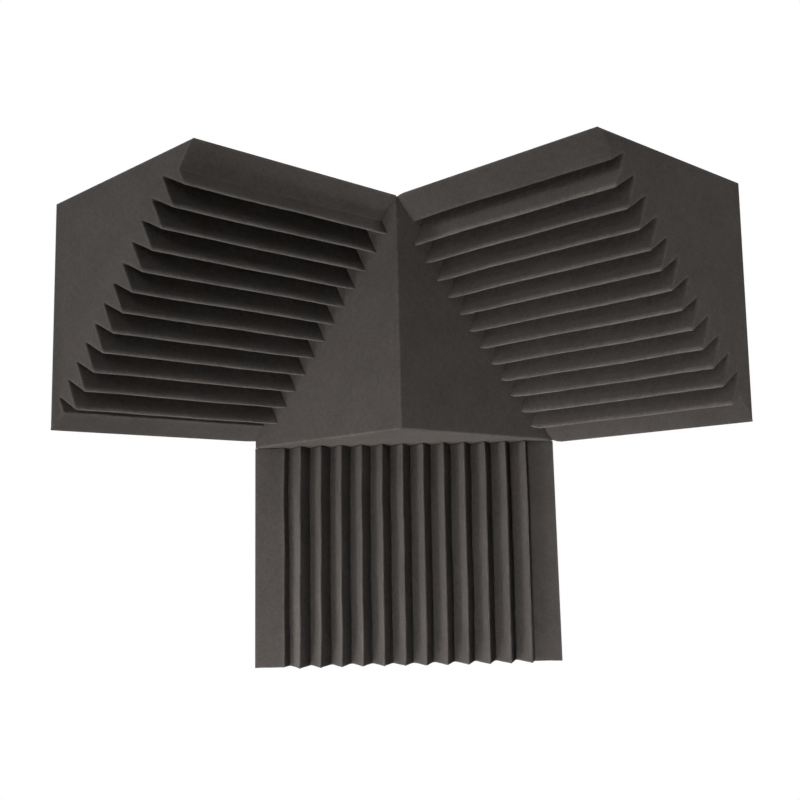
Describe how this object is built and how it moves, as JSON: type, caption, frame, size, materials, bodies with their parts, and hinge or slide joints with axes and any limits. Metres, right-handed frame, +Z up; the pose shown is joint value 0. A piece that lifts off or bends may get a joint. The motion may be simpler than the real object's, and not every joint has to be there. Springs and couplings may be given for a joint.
{
  "type": "corner bass trap",
  "caption": "Foam blocks for a room's upper corner: a plain cube and wedge-faced triangular traps along its edges, held by tape tabs, to absorb low sound.",
  "frame": {"origin": "the room's own corner, where the ceiling plane and both wall planes meet; every tape tab's outer face lies on one of these planes", "axes": "+Z up, square to the ceiling; +Y into the right-hand wall, so that wall is y = 0 and the part lies at y < 0; +X out along the right-hand wall, so the left-hand wall is x = 0"},
  "size_m": [0.6241, 0.6196, 0.6186],
  "materials": {
    "foam": "matte charcoal open-cell polyurethane foam with a fine cell grain",
    "tape": "off-white foam tape with a smooth, slightly tacky adhesive face"
  },
  "bodies": {
    "root": {"corner_cube": "foam", "left_trap": "foam", "right_trap": "foam", "vertical_trap": "foam", "cube_ceiling_tab_1": "tape", "cube_ceiling_tab_2": "tape", "cube_ceiling_tab_3": "tape", "cube_ceiling_tab_4": "tape", "cube_left_wall_tab_1": "tape", "cube_left_wall_tab_2": "tape", "cube_left_wall_tab_3": "tape", "cube_left_wall_tab_4": "tape", "cube_right_wall_tab_1": "tape", "cube_right_wall_tab_2": "tape", "cube_right_wall_tab_3": "tape", "cube_right_wall_tab_4": "tape", "left_trap_ceiling_tab_1": "tape", "left_trap_ceiling_tab_2": "tape", "left_trap_ceiling_tab_3": "tape", "left_trap_ceiling_tab_4": "tape", "left_trap_wall_tab_1": "tape", "left_trap_wall_tab_2": "tape", "left_trap_wall_tab_3": "tape", "left_trap_wall_tab_4": "tape", "right_trap_ceiling_tab_1": "tape", "right_trap_ceiling_tab_2": "tape", "right_trap_ceiling_tab_3": "tape", "right_trap_ceiling_tab_4": "tape", "right_trap_wall_tab_1": "tape", "right_trap_wall_tab_2": "tape", "right_trap_wall_tab_3": "tape", "right_trap_wall_tab_4": "tape", "vertical_trap_left_tab_1": "tape", "vertical_trap_left_tab_2": "tape", "vertical_trap_left_tab_3": "tape", "vertical_trap_left_tab_4": "tape", "vertical_trap_right_tab_1": "tape", "vertical_trap_right_tab_2": "tape", "vertical_trap_right_tab_3": "tape", "vertical_trap_right_tab_4": "tape"}
  },
  "joints": []
}
